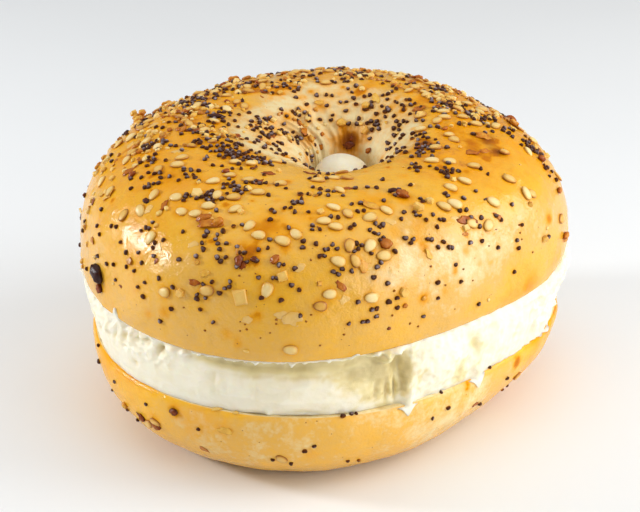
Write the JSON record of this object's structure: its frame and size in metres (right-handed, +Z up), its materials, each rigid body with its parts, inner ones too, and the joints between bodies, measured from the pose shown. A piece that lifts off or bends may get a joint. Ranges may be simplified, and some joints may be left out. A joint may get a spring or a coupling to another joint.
{
  "type": "bagel sandwich",
  "caption": "Round seeded bagel sliced level, filled with a thick layer of soft white cheese that also rises in the middle hole.",
  "frame": {"origin": "middle of the base, on the surface that the bagel rests on", "axes": "+Z up, -Y towards the front that the picture shows, +X to the right"},
  "size_m": [0.1163, 0.1189, 0.0686],
  "materials": {
    "crust_top": "baked golden crust with a soft shine, scattered with seeds and dried onion",
    "soft_filling": "soft white spread cheese, moist, torn and smeared at its side",
    "crust_bottom": "paler baked crust, smooth, with a few seeds and brown spots"
  },
  "bodies": {
    "root": {"bagel_top": "crust_top", "soft_filling": "soft_filling", "bagel_bottom": "crust_bottom"}
  },
  "joints": []
}
